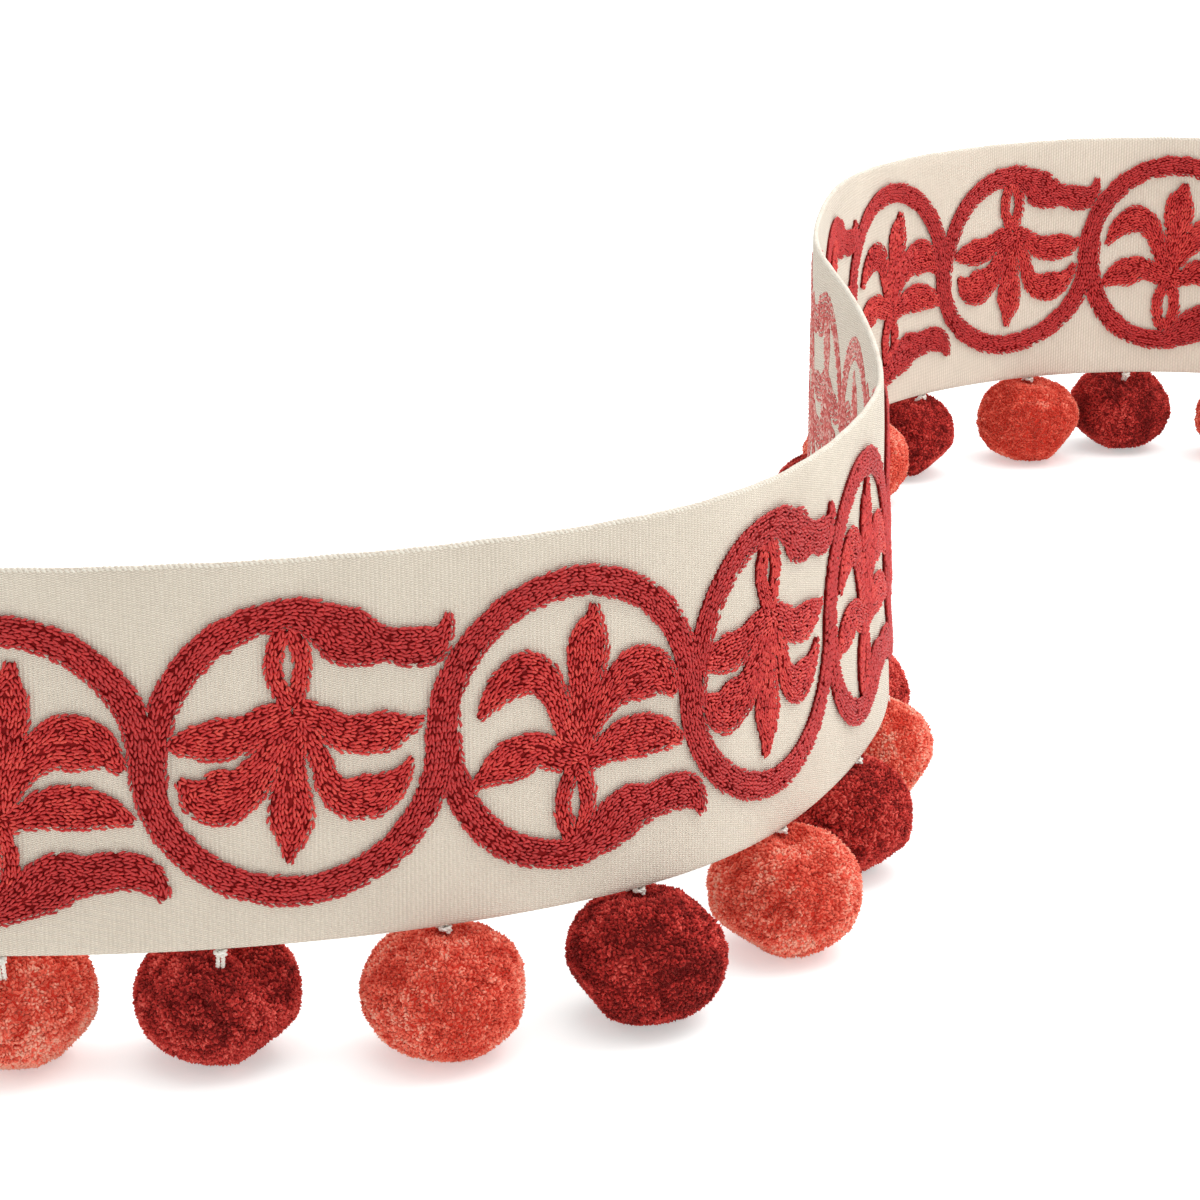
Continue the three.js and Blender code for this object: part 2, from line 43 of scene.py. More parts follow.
# One socket of a node tree, used like a number or a vector
class Wire:
    def __init__(self, tree, socket=None):
        self.tree = tree
        self.socket = socket

    def node(self, kind, settings=None, values=None, out=0):
        made = self.tree.nodes.new(kind)
        for name, value in (settings or {}).items():
            if name == "stops":  # a colour ramp's stops, as (place, colour)
                ramp = made.color_ramp
                while len(ramp.elements) < len(value):
                    ramp.elements.new(1)
                for stop, (place, colour) in zip(ramp.elements, value):
                    stop.position = place
                    stop.color = (*colour, 1)
            else:
                setattr(made, name, value)
        for name, value in (values or {}).items():
            if isinstance(name, int):
                into = made.inputs[name]
            else:
                into = next(socket for socket in made.inputs if socket.enabled and socket.name == name)
            for each in value if isinstance(value, list) else [value]:
                if isinstance(each, Wire):
                    self.tree.links.new(each.socket, into)
                else:
                    into.default_value = each
        if isinstance(out, tuple):
            return [Wire(self.tree, made.outputs[name]) for name in out]
        if isinstance(out, str):
            return Wire(self.tree, next(s for s in made.outputs if s.enabled and s.name == out))
        return Wire(self.tree, made.outputs[out])

    def maths(self, operation, *others):
        terms = (self, *others)
        vector = [term.socket.type in ("VECTOR", "RGBA") if isinstance(term, Wire)
                  else isinstance(term, tuple) for term in terms]
        if not any(vector):
            return self.node("ShaderNodeMath", {"operation": operation}, dict(enumerate(terms)))
        if operation == "MULTIPLY" and not all(vector):
            number = vector.index(False)
            return self.node("ShaderNodeVectorMath", {"operation": "SCALE"},
                             {0: terms[1 - number], "Scale": terms[number]})
        return self.node("ShaderNodeVectorMath", {"operation": operation}, dict(enumerate(terms)),
                         "Value" if operation in ("DOT_PRODUCT", "LENGTH") else 0)

    def __add__(self, other):
        return self.maths("ADD", other)

    def __sub__(self, other):
        return self.maths("SUBTRACT", other)

    def __mul__(self, other):
        return self.maths("MULTIPLY", other)

    def __truediv__(self, other):
        return self.maths("DIVIDE", other)

    def __pow__(self, other):
        return self.maths("POWER", other)

    def __rsub__(self, other):
        return self.node("ShaderNodeMath", {"operation": "SUBTRACT"}, {0: other, 1: self})

    def __rtruediv__(self, other):
        return self.node("ShaderNodeMath", {"operation": "DIVIDE"}, {0: other, 1: self})

    __radd__ = __add__
    __rmul__ = __mul__

    def parts(self):
        return self.node("ShaderNodeSeparateXYZ", values={"Vector": self}, out=(0, 1, 2))

    def between(self, low, high):  # 0 at low and below, 1 at high and above
        return self.node("ShaderNodeMapRange", {"interpolation_type": "SMOOTHSTEP"},
                         {"Value": self, "From Min": low, "From Max": high})

    def bell(self, width):  # 1 at zero, falling off on both sides
        return ((self / width).maths("POWER", 2) * -1).maths("EXPONENT")

    def blend(self, first, second):  # colours mixed by this mask
        return self.node("ShaderNodeMix", {"data_type": "RGBA"},
                         {"Factor": self, "A": colour4(first), "B": colour4(second)}, "Result")

    def ramp(self, stops):
        return self.node("ShaderNodeValToRGB", {"stops": stops}, {"Fac": self}, "Color")

    def noise(self, scale, detail, more=None, seed=None, out=0):
        values = {"Vector": self, "Scale": scale, "Detail": detail, **(more or {})}
        if seed is None:
            return self.node("ShaderNodeTexNoise", values=values, out=out)
        return self.node("ShaderNodeTexNoise", {"noise_dimensions": "4D"}, {**values, "W": seed}, out)

    def bump(self, strength, depth):
        return self.node("ShaderNodeBump", None,
                         {"Strength": strength, "Distance": depth * mm, "Height": self}, "Normal")

    def painted(self, name, out="Fac"):  # an attribute in a material
        return self.node("ShaderNodeAttribute", {"attribute_name": name}, out=out)

    def kept(self, kind, name):  # an attribute in a geometry tree
        return self.node("GeometryNodeInputNamedAttribute", {"data_type": kind}, {"Name": name}, "Attribute")

    def store(self, kind, name, value):
        return self.node("GeometryNodeStoreNamedAttribute", {"data_type": kind},
                         {"Geometry": self, "Name": name, "Value": value})

    def chance(self, seed, low=0.0, high=1.0):
        return self.node("FunctionNodeRandomValue", {"data_type": "FLOAT"},
                         {"Min": low, "Max": high, "Seed": seed}, "Value")

    def xyz(self, x=0, y=0, z=0):
        return self.node("ShaderNodeCombineXYZ", values={"X": x, "Y": y, "Z": z})

    def moved(self, values):
        return self.node("GeometryNodeSetPosition", values={"Geometry": self, **values})


def colour4(colour):
    return (*colour, 1) if isinstance(colour, tuple) and len(colour) == 3 else colour


# A tree and its inputs, which are listed by kind
def newTree(name, inputs):
    tree = bpy.data.node_groups.new(name, "GeometryNodeTree")
    tree.is_modifier = True
    for way in ("INPUT", "OUTPUT"):
        tree.interface.new_socket("Geometry", in_out=way, socket_type="NodeSocketGeometry")
    for kind, labels in {**inputs, "Material": ["Material"]}.items():
        for label in labels:
            tree.interface.new_socket(label, in_out="INPUT", socket_type="NodeSocket" + kind)
    source = tree.nodes.new("NodeGroupInput")
    return tree, {socket.name: Wire(tree, socket) for socket in source.outputs if socket.name}


def endTree(tree, geometry, material):
    joined = geometry.node("GeometryNodeRealizeInstances", values={"Geometry": geometry})
    smooth = joined.node("GeometryNodeSetShadeSmooth", values={"Geometry": joined})
    covered = smooth.node("GeometryNodeSetMaterial", values={"Geometry": smooth, "Material": material})
    last = tree.nodes.new("NodeGroupOutput")
    tree.links.new(covered.socket, last.inputs[0])


# Runs a tree on a base object, which becomes the plain mesh that comes out of it
def grow(piece, tree, values):
    modifier = piece.modifiers.new(tree.name, "NODES")
    modifier.node_group = tree
    for item in tree.interface.items_tree:
        if item.in_out == "INPUT" and item.name in values:
            modifier[item.identifier] = values[item.name]
    piece.update_tag()
    graph = bpy.context.evaluated_depsgraph_get()
    made = bpy.data.meshes.new_from_object(
        piece.evaluated_get(graph), preserve_all_data_layers=True, depsgraph=graph)
    piece.modifiers.remove(modifier)
    while made.materials and made.materials[0] is None:
        made.materials.pop(index=0)
    made.polygons.foreach_set("material_index", [0] * len(made.polygons))
    made.name = piece.name
    piece.data = made
    return piece


# A tree's inputs from a piece's dictionary: sizes in millimetres, and plain numbers
def inputsFrom(table, sizes, numbers=()):
    def value(name):
        return table[name[0].lower() + name[1:].replace(" ", "")]

    return {**{name: value(name) * mm for name in sizes}, **{name: value(name) for name in numbers}}


def newPiece(name, points, faces=(), edges=()):
    mesh = bpy.data.meshes.new(name)
    mesh.from_pydata([tuple(point) for point in points], list(edges), list(faces))
    mesh.update()
    piece = bpy.data.objects.new(name, mesh)
    bpy.context.scene.collection.objects.link(piece)
    return piece


# A base object with a chain of edges through each line of points
def newLines(name, lines):
    points, edges = [], []
    for line in lines:
        edges += [(len(points) + i, len(points) + i + 1) for i in range(len(line) - 1)]
        points += list(line)
    return newPiece(name, points, edges=edges)


def keepValues(piece, name, kind, values):
    attribute = piece.data.attributes.new(name, kind, "POINT")
    field = "vector" if kind in ("FLOAT_VECTOR", "FLOAT2") else "value"
    attribute.data.foreach_set(field, np.asarray(values, np.float32).ravel())


def newMaterial(name):
    material = bpy.data.materials.new(name)
    material.use_nodes = True
    shader = material.node_tree.nodes["Principled BSDF"]
    place = Wire(material.node_tree).node("ShaderNodeTexCoord", out="Object")
    return material, shader, place


def feed(shader, values):
    for name, value in values.items():
        if isinstance(value, Wire):
            value.tree.links.new(value.socket, shader.inputs[name])
        else:
            shader.inputs[name].default_value = colour4(value)


# The plan of the S curve, in millimetres and degrees
plan = {
    "start": (-191.2, -257.4), "length": 761.6, "width": 76, "edgeHeight": 27, "step": 0.4,
    "bends": [(0, -7), (60, 8), (120, 24), (150, 34), (180, 50), (210, 64), (240, 71), (270, 77),
              (300, 87), (330, 91), (418, 95), (448, 91), (477, 85), (536, 78), (566, 66), (596, 51),
              (656, 22), (706, -8), (761.6, -27)],
    "leans": [(0, 0), (200, -1), (293, -3), (400, 0), (761.6, 0)],
}


# A value read from a table of places along the tape, on a smooth curve through its rows
def smoothValue(rows, at):
    last = len(rows) - 1
    row = 0
    while row < last - 1 and at > rows[row + 1][0]:
        row += 1

    def slope(index):
        before, after = rows[max(index - 1, 0)], rows[min(index + 1, last)]
        return (after[1] - before[1]) / (after[0] - before[0])

    span = rows[row + 1][0] - rows[row][0]
    t = (at - rows[row][0]) / span
    rise = t * t * (3 - 2 * t)
    ease = slope(row) * span * t * (1 - t) ** 2 - slope(row + 1) * span * t * t * (1 - t)
    return rows[row][1] * (1 - rise) + rows[row + 1][1] * rise + ease


planAlong = np.arange(int(round(plan["length"] / plan["step"])) + 1) * plan["step"]
planHeading = np.radians([smoothValue(plan["bends"], at) for at in planAlong])
planLean = np.array([smoothValue(plan["leans"], at) for at in planAlong])
planTurn = np.radians([smoothValue(plan["bends"], at + plan["step"] / 2) for at in planAlong[:-1]])
planX, planY = (begin + np.concatenate([[0], np.cumsum(share(planTurn) * plan["step"])])
                for begin, share in zip(plan["start"], (np.cos, np.sin)))


def headingAt(along):
    return np.interp(along, planAlong, planHeading)


# Places on the standing tape, in metres: along it, up from its lower edge, out from its middle
def onTape(along, up, out):
    along, up, out = np.broadcast_arrays(np.asarray(along, float), up, out)
    heading = headingAt(along)
    reach = out + np.interp(along, planAlong, planLean) * (up / plan["width"] - 0.5)
    x = np.interp(along, planAlong, planX) + np.sin(heading) * reach
    y = np.interp(along, planAlong, planY) - np.cos(heading) * reach
    return np.stack([x, y, plan["edgeHeight"] + up], -1) * mm


# Camera at the photograph's angle
view = {"place": (-0.0505, -0.8803, 0.281), "tilt": 73.5, "lens": 106.2, "sensor": 36, "farthest": 50}
camera = bpy.data.objects.new("photo_camera", bpy.data.cameras.new("photo_camera"))
bpy.context.scene.collection.objects.link(camera)
camera.location = view["place"]
camera.rotation_euler = (math.radians(view["tilt"]), 0, 0)
camera.data.lens = view["lens"]
camera.data.sensor_width = view["sensor"]
camera.data.clip_end = view["farthest"]
bpy.context.scene.camera = camera


# Tape: woven in ribs that run across it, with a bead of thread at each crossing
tape = {
    "thickness": 1.2, "edgeRound": 0.6, "ribPitch": 0.85, "ribHeight": 0.1, "ribFade": 1, "beadPitch": 0.46,
    "stepsPerRib": 4, "rows": 12, "rowCrowding": 3.3, "weld": 0.004,
    "light": (0.885, 0.785, 0.665), "shade": (0.59, 0.50, 0.405), "paler": 0.16,
    "ribGrooveShade": 0.24, "beadGapShade": 0.42, "slubDark": 0.5, "cloudDark": 0.4,
    "slubScale": (1500, 260, 1), "cloudScale": 45, "fuzzScale": 5200, "bumpDepth": 0.14,
}


def tapeTree():
    tree, given = newTree("ribbedTape", {
        "Float": ("Length", "Width", "Edge Height", "Thickness", "Edge Round", "Rib Pitch", "Rib Height",
                  "Rib Fade", "Row Crowding", "Weld"),
        "Int": ("Steps", "Rows")})
    line, length, width = given["Geometry"], given["Length"], given["Width"]
    grid = line.node("GeometryNodeMeshGrid", values={
        "Size X": length, "Size Y": 2, "Vertices X": given["Steps"], "Vertices Y": given["Rows"]})
    x, y = line.node("GeometryNodeInputPosition").parts()[:2]
    along = x + length / 2
    fromEdge = (1 - y.maths("ABSOLUTE")) ** given["Row Crowding"] * width / 2
    up = width / 2 + y.maths("SIGN") * (width / 2 - fromEdge)
    edgeGap = fromEdge.maths("MINIMUM", along.maths("MINIMUM", length - along))
    rounding = 1 - (edgeGap / given["Edge Round"]).maths("MINIMUM", 1)
    half = (1 - rounding * rounding).maths("SQRT") * given["Thickness"] / 2
    rib = (along / given["Rib Pitch"] * 2 * math.pi).maths("COSINE") * given["Rib Height"]
    half = half + rib * (edgeGap / given["Rib Fade"]).maths("MINIMUM", 1)
    curve = line.node("GeometryNodeMeshToCurve", values={"Mesh": line})
    lean, place, tangent = line.node("GeometryNodeSampleCurve", {"mode": "LENGTH"}, {
        "Curves": curve, "Value": line.kept("FLOAT", "lean"), "Length": along}, (0, 1, 2))
    side = tangent.maths("CROSS_PRODUCT", (0, 0, 1)).maths("NORMALIZE")
    height = line.xyz(z=given["Edge Height"] + up)
    front = grid.store("FLOAT_VECTOR", "cloth", line.xyz(along, up))
    back = line.node("GeometryNodeFlipFaces", values={"Mesh": front})
    leaning = lean * (up / width - 0.5)
    faces = [sheet.moved({"Position": place + side * out + height})
             for sheet, out in ((front, leaning + half), (back, leaning - half))]
    both = line.node("GeometryNodeJoinGeometry", values={"Geometry": faces})
    closed = line.node("GeometryNodeMergeByDistance", values={"Geometry": both, "Distance": given["Weld"]})
    endTree(tree, closed, given["Material"])
    return tree


def tapeCloth():
    material, shader, place = newMaterial("ecruRibbedCotton")
    cloth = place.painted("cloth", "Vector")
    along, up = cloth.parts()[:2]
    rib = (along * (2 * math.pi / (tape["ribPitch"] * mm))).maths("COSINE")
    parity = (along / (2 * tape["ribPitch"] * mm) + 0.25).maths("FRACT").maths("GREATER_THAN", 0.5)
    bead = ((up / (tape["beadPitch"] * mm) + parity * 0.5) * 2 * math.pi).maths("COSINE")
    slub = cloth.maths("MULTIPLY", tape["slubScale"]).noise(1, 3)
    cloud = cloth.noise(tape["cloudScale"], 2)
    fuzz = cloth.noise(tape["fuzzScale"], 2)
    # The cloth is darker in the grooves between ribs and in the gaps between beads, which is painted shade;
    # the slubs and clouds are the yarn's own tone
    dark = ((1 - rib) * tape["ribGrooveShade"] + (1 - bead) * tape["beadGapShade"] + (0.5 - slub) * tape["slubDark"]
            + (0.5 - cloud) * tape["cloudDark"] - tape["paler"])
    colour = dark.maths("MAXIMUM", 0).maths("MINIMUM", 1).blend(tape["light"], tape["shade"])
    height = bead * (rib * 0.5 + 0.5) * 0.8 + fuzz * 0.4 + slub * 0.3
    feed(shader, {"Base Color": colour, "Roughness": 0.88, "Normal": height.bump(0.9, tape["bumpDepth"]),
                  "Sheen Weight": 0.12, "Sheen Roughness": 0.5, "Specular IOR Level": 0.25})
    return material


tapePiece = newLines("ribbed_tape", [np.stack([planX, planY, planX * 0], -1)[::2] * mm])
keepValues(tapePiece, "lean", "FLOAT", planLean[::2] * mm)
grow(tapePiece, tapeTree(), {
    **inputsFrom(plan, ("Length", "Width", "Edge Height")),
    **inputsFrom(tape, ("Thickness", "Edge Round", "Rib Pitch", "Rib Height", "Rib Fade", "Weld"),
                 ("Row Crowding", "Rows")),
    "Steps": int(plan["length"] / tape["ribPitch"] * tape["stepsPerRib"]) + 1, "Material": tapeCloth()})
print("tape woven")


# Twisted cords: two strands laid round each other along a line
def cordTree():
    tree, given = newTree("twistedCord", {
        "Float": ("Step", "Strand Radius", "Twist Radius", "Twist Length"), "Int": ["Sides"]})
    line = given["Geometry"]
    curve = line.node("GeometryNodeMeshToCurve", values={"Mesh": line})
    even = line.node("GeometryNodeResampleCurve", {"mode": "LENGTH"},
                     {"Curve": curve, "Length": given["Step"]})
    length = line.node("GeometryNodeSplineParameter", out="Length")
    normal = line.node("GeometryNodeInputNormal")
    tangent = line.node("GeometryNodeInputTangent")
    other = tangent.maths("CROSS_PRODUCT", normal)
    ring = line.node("GeometryNodeCurvePrimitiveCircle", values={
        "Resolution": given["Sides"], "Radius": given["Strand Radius"]})
    strands = []
    for half in (0, 1):
        turn = length / given["Twist Length"] * 2 * math.pi + half * math.pi
        away = (normal * turn.maths("COSINE") + other * turn.maths("SINE")) * given["Twist Radius"]
        strands.append(line.node("GeometryNodeCurveToMesh", values={
            "Curve": even.moved({"Offset": away}), "Profile Curve": ring, "Fill Caps": True}))
    endTree(tree, line.node("GeometryNodeJoinGeometry", values={"Geometry": strands}), given["Material"])
    return tree


twist = cordTree()


def cordCotton(name, light, shade):
    material, shader, place = newMaterial(name)
    strand = place.noise(1900, 3, {"Distortion": 1.5})
    colour = (strand * 0.7 + place.noise(300, 2) * 0.4).between(0.35, 0.75).blend(shade, light)
    feed(shader, {"Base Color": colour, "Roughness": 0.82, "Normal": strand.bump(0.6, 0.1),
                  "Sheen Weight": 0.2, "Specular IOR Level": 0.25})
    return material


def growCord(piece, cord, materialName):
    return grow(piece, twist, {
        **inputsFrom(cord, ("Step", "Strand Radius", "Twist Radius", "Twist Length"), ["Sides"]),
        "Material": cordCotton(materialName, cord["light"], cord["shade"])})


# Selvedge: a cord along the upper edge, which wavers a little
selvedge = {
    "below": 0.5, "spacing": 0.8, "waver": 0.12, "waverLengths": (3.1, 8.7), "strandRadius": 0.36,
    "twistRadius": 0.3, "twistLength": 2.1, "step": 0.36, "sides": 5,
    "light": (0.86, 0.80, 0.70), "shade": (0.70, 0.62, 0.52),
}
edgeAlong = np.arange(selvedge["spacing"] / 2, plan["length"], selvedge["spacing"])
shortWave, longWave = (np.sin(edgeAlong / length) for length in selvedge["waverLengths"])
edgeUp = plan["width"] - selvedge["below"] + selvedge["waver"] * shortWave * longWave
edgePiece = growCord(newLines("selvedge", [onTape(edgeAlong, edgeUp, 0)]), selvedge, "ecruSelvedge")
print("selvedge laid")


# Embroidery: the running scroll, in millimetres on the flat tape
scroll = {
    "rings": 14, "ringPitch": 56, "ringRadius": 28, "ringSqueeze": 0.07, "middle": 38, "bandWidth": 6.3,
    "stemWidth": 3.8, "clearEnd": 1.5, "branchDegrees": (-25, 91, 23),
    "branchTaper": (0.4, 0.72, 0.95, 1, 1, 1),
    "drift": [  # how far each ring's leaves (u, v), flag (u, v) and vine stray from the even repeat
        (-1.2, -1.8, -1.4, -0.5, -1.5), (-0.5, 0.5, -0.2, -0.4, 1), (-1, 0.5, -1, 1, -0.2),
        (-2.5, 2.4, -0.5, 1, 2.2), (-2.4, 2, -2, 1.6, 0), (0, 0.5, 0.5, 0.5, 0.5), (0.5, -0.5, 0, 0, 0),
        (-0.5, 0.5, 0.5, 0, 0.6), (0.8, 0, -0.5, 0.5, 0), (0, 0.6, 0, -0.5, 0.5), (0.4, 0.2, -1, 0, 0.7),
        (0.7, 1.5, 0.5, 0, 2), (-2.6, 1.5, -2.6, 0.8, 1.2), (-1.5, 1, -1, 0.5, 1)],
}
hangingRing = {  # stations of (u, v, width), where a stem's have no width of their own
    "flag": [(34.5, 63.4, 9), (38.2, 61, 12), (42.4, 59.2, 9.8), (46.2, 58.6, 7), (50.6, 57.5, 8.2),
             (54.8, 57.6, 7.6), (57.3, 59.8, 4.6), (58.2, 63.2, 1.8)],
    "stems": [[(26.6, 62), (25, 57.4), (24.9, 53.6), (26, 50.4), (27.4, 47.2)],
              [(28.4, 62), (30.1, 57.4), (30.2, 53.6), (29.2, 50.4), (27.8, 47.2)]],
    "leaves": [
        [(28, 46, 6.5), (22.8, 44.2, 7), (18.4, 42.1, 7.8), (13.8, 41.4, 8.7), (9.6, 41.2, 6.8),
         (6.9, 41, 4.4), (4.9, 41, 1.8)],
        [(27, 42.5, 6), (23.4, 37, 6.4), (19.2, 32.2, 9), (14.6, 30.2, 11.8), (10.6, 30.6, 9.2),
         (8.2, 32.4, 4.4), (6.7, 33.8, 2.2)],
        [(28, 44, 5.5), (27.8, 36, 5.8), (27.5, 31, 7.6), (27.4, 26.6, 9.2), (27.5, 22.6, 7.8),
         (27, 19, 3.8), (26.7, 16.2, 2)],
        [(28.5, 46, 6.5), (33.6, 44.2, 5.4), (37.6, 41.2, 7.4), (42.2, 40.4, 8.4), (46.6, 40.6, 8.2),
         (50, 41.2, 4.9), (53.4, 42.4, 1.6)],
        [(29.5, 43.5, 5), (32.9, 37.4, 4.4), (34.4, 32.2, 5.4), (37.6, 28.6, 7.8), (42.3, 28, 9.6),
         (46.3, 29.4, 7.2), (49.2, 32, 3.8), (50.9, 34.8, 1.8)],
    ],
}
risingRing = {
    "flag": [(34, 12.2, 8.4), (38, 14.6, 11), (41.6, 16.4, 11), (46, 16.8, 8.2), (51.6, 17.6, 8.2),
             (56.2, 16.8, 7.6), (59.2, 14.2, 5), (60.2, 11.4, 2.4)],
    "stems": [[(28.2, 12.6), (26.5, 18.2), (26.4, 22), (27.5, 25.4), (29, 28.6)],
              [(29.4, 12.6), (31.6, 18.2), (31.8, 22), (31, 25.4), (29.8, 28.6)]],
    "leaves": [
        [(29.5, 29, 6.5), (25, 31, 6.4), (20.6, 32.7, 7.6), (16, 31.6, 9.4), (12.2, 30.2, 7.2),
         (9.4, 28.6, 4), (7.4, 26.6, 1.8)],
        [(29, 31, 4.8), (26.6, 37.2, 5), (24.8, 42.8, 6), (22.2, 47, 7.6), (18.2, 48.6, 8.8), (14, 46.6, 7.2),
         (11, 43.6, 4.4), (9, 40.6, 2)],
        [(29.6, 31, 5.5), (30.7, 39.5, 5.8), (31.6, 44.5, 7.8), (32, 50, 9.6), (32.4, 54.3, 8.6),
         (33.3, 57.5, 4.4), (33.6, 60, 2.2)],
        [(29.5, 29, 6.5), (34.4, 29.8, 5.8), (38.6, 31.4, 8.4), (43.4, 31.7, 9.4), (48.4, 31, 7.8),
         (52.4, 29.6, 4.8), (54.8, 28.4, 2)],
        [(30.3, 32, 5), (34.3, 38.4, 6), (38.8, 42.8, 9), (43.4, 44.4, 11.6), (48, 43.4, 9.8),
         (51.2, 41, 5.6), (53, 38.4, 2.4)],
    ],
}


# A smooth line through stations of (u, v, width) or (x, y, z)
def smoothLine(stations, cuts=12):
    rows = np.array([(*station, scroll["stemWidth"])[:3] for station in stations], float)
    ends = np.vstack([2 * rows[0] - rows[1], rows, 2 * rows[-1] - rows[-2]])
    found = []
    for a, b, c, d in zip(ends, ends[1:], ends[2:], ends[3:]):
        for t in np.arange(cuts) / cuts:
            found.append(0.5 * (2 * b + (c - a) * t + (2 * a - 5 * b + 4 * c - d) * t ** 2
                                + (3 * b - 3 * c + d - a) * t ** 3))
    found.append(rows[-1])
    return np.array(found)


# The vine waves from ring to ring, one half of each ring
def vineLine():
    found = []
    for ring in range(scroll["rings"]):
        side = 1 if ring % 2 == 0 else -1
        rise = side * scroll["ringRadius"] + scroll["drift"][ring][4]
        for turn in np.arange(0, 180, 2) * math.pi / 180:
            found.append((ring * scroll["ringPitch"] + scroll["ringRadius"] * (1 - math.cos(turn)),
                          scroll["middle"] + rise * math.sin(turn), scroll["bandWidth"]))
    return np.array(found)


# The other half of a ring: it grows out of the vine and carries the flag
def branchLine(side):
    found = []
    for degrees, width in zip(range(*scroll["branchDegrees"]), scroll["branchTaper"]):
        turn = math.radians(degrees)
        radius = scroll["ringRadius"] * (1 - scroll["ringSqueeze"] * math.cos(turn) ** 2)
        found.append((scroll["ringRadius"] - radius * math.cos(turn),
                      scroll["middle"] + side * radius * math.sin(turn), scroll["bandWidth"] * width))
    return found


def lengthAlong(line):
    return np.concatenate([[0], np.cumsum(np.linalg.norm(np.diff(line[:, :2], axis=0), axis=1))])


def wayAcross(line):
    way = np.gradient(line[:, :2], axis=0)
    way /= np.linalg.norm(way, axis=1)[:, None] + 1e-9
    return np.stack([-way[:, 1], way[:, 0]], 1)


scrollLines = {"vine": [vineLine()], "branches": [], "leaves": []}
for ring in range(scroll["rings"]):
    rises = ring % 2 == 0
    design = risingRing if rises else hangingRing
    leafU, leafV, flagU, flagV = scroll["drift"][ring][:4]
    start = ring * scroll["ringPitch"]
    half = branchLine(-1 if rises else 1)
    ease = [min(max(i - 1, 0) / 3, 1) for i in range(len(half))]  # the flag's drift sets in along the branch
    rows = [(u + flagU * t, v + flagV * t, w) for (u, v, w), t in zip(half, ease)]
    rows += [(u + flagU, v + flagV, w) for u, v, w in design["flag"]]
    scrollLines["branches"].append(smoothLine(rows) + (start, 0, 0))
    for stations in design["stems"] + design["leaves"]:
        scrollLines["leaves"].append(smoothLine(stations) + (start + leafU, leafV, 0))


# Chain stitches in rows that follow each outline inwards
stitch = {
    "rowPitch": 1.36, "outerReach": -0.45, "innerReach": -0.3, "shortestRow": 0.8, "pitch": 1.24,
    "slide": 0.15, "apart": 0.86, "wander": 0.13, "ahead": 0.3, "fillApart": 0.98, "fillsPerWidth": 3,
    "fillInset": 0.65, "base": 0.34, "rise": 0.36, "crown": 0.22, "heightJitter": 0.04, "turnJitter": 0.24,
    "sizeJitter": 0.13, "deep": (0.31, 0.008, 0.009), "vine": (0.56, 0.034, 0.034),
    "plain": (0.64, 0.036, 0.034), "bright": (0.88, 0.12, 0.085),
}


# Unbroken runs of the places where a mask holds
def runsIn(mask):
    runs = np.split(np.arange(len(mask)), np.flatnonzero(np.diff(mask.astype(int))) + 1)
    return [run for run in runs if mask[run[0]]]


# 1 in the middle of a band and near 0 at its edges
def crownAt(away, half):
    return 1 - (away / (half + 0.01)) ** 2


def rowsIn(line):
    across = wayAcross(line)
    half = line[:, 2] / 2
    rows = []
    for layer in range(int(np.ceil(half.max() / stitch["rowPitch"]))):
        reach = half - (layer + 0.5) * stitch["rowPitch"]
        inside = reach > (stitch["outerReach"] if layer == 0 else stitch["innerReach"])
        for side in (1, -1):
            away = np.maximum(reach, 0) * side
            row = np.column_stack([line[:, :2] + across * away[:, None], crownAt(away, half)])
            rows += [row[run] for run in runsIn(inside) if len(run) > 3]
    return rows


# Places already taken, so that no stitch sits on another
class Taken:
    def __init__(self):
        self.cells = {}

    def add(self, u, v, apart):
        i, j = int(u // 2), int(v // 2)
        for near in [(i + down, j + across) for down in (-1, 0, 1) for across in (-1, 0, 1)]:
            if any((x - u) ** 2 + (y - v) ** 2 < apart ** 2 for x, y in self.cells.get(near, ())):
                return False
        self.cells.setdefault((i, j), []).append((u, v))
        return True


# Stitches as (u, v, their way along u, their way up v, how near the middle of the band)
def stitchesAlong(lines, taken, dice):
    found = []
    lowest, highest = scroll["clearEnd"] + 1, plan["length"] - scroll["clearEnd"] - 1
    slide, ahead, wander = stitch["slide"], stitch["ahead"], stitch["wander"]
    for line in lines:
        for row in rowsIn(line):
            length = lengthAlong(row)
            if length[-1] < stitch["shortestRow"]:
                continue
            count = max(int(round(length[-1] / stitch["pitch"])), 1)
            at = (np.arange(count) + 0.5 + dice.uniform(-slide, slide, count)) * length[-1] / count
            u, v, crown = (np.interp(at, length, row[:, k]) for k in range(3))
            du, dv = (np.interp(at + ahead, length, row[:, k]) - np.interp(at - ahead, length, row[:, k])
                      for k in (0, 1))
            u, v = u + dice.normal(0, wander, count), v + dice.normal(0, wander, count)
            for place in zip(u, v, du, dv, crown):
                if lowest < place[0] < highest and taken.add(place[0], place[1], stitch["apart"]):
                    found.append(place)
    for line in lines:  # odd stitches where the rows leave a gap
        across = wayAcross(line)
        half = line[:, 2] / 2
        for i in dice.permutation(len(line) - 1):
            way = line[i + 1, :2] - line[i, :2]
            for share in dice.uniform(-1, 1, int(half[i] * stitch["fillsPerWidth"]) + 1):
                away = share * max(half[i] - stitch["fillInset"], 0)
                u, v = line[i, :2] + across[i] * away
                if lowest < u < highest and taken.add(u, v, stitch["fillApart"]):
                    found.append((u, v, way[0], way[1], crownAt(away, half[i])))
    return np.array(found)


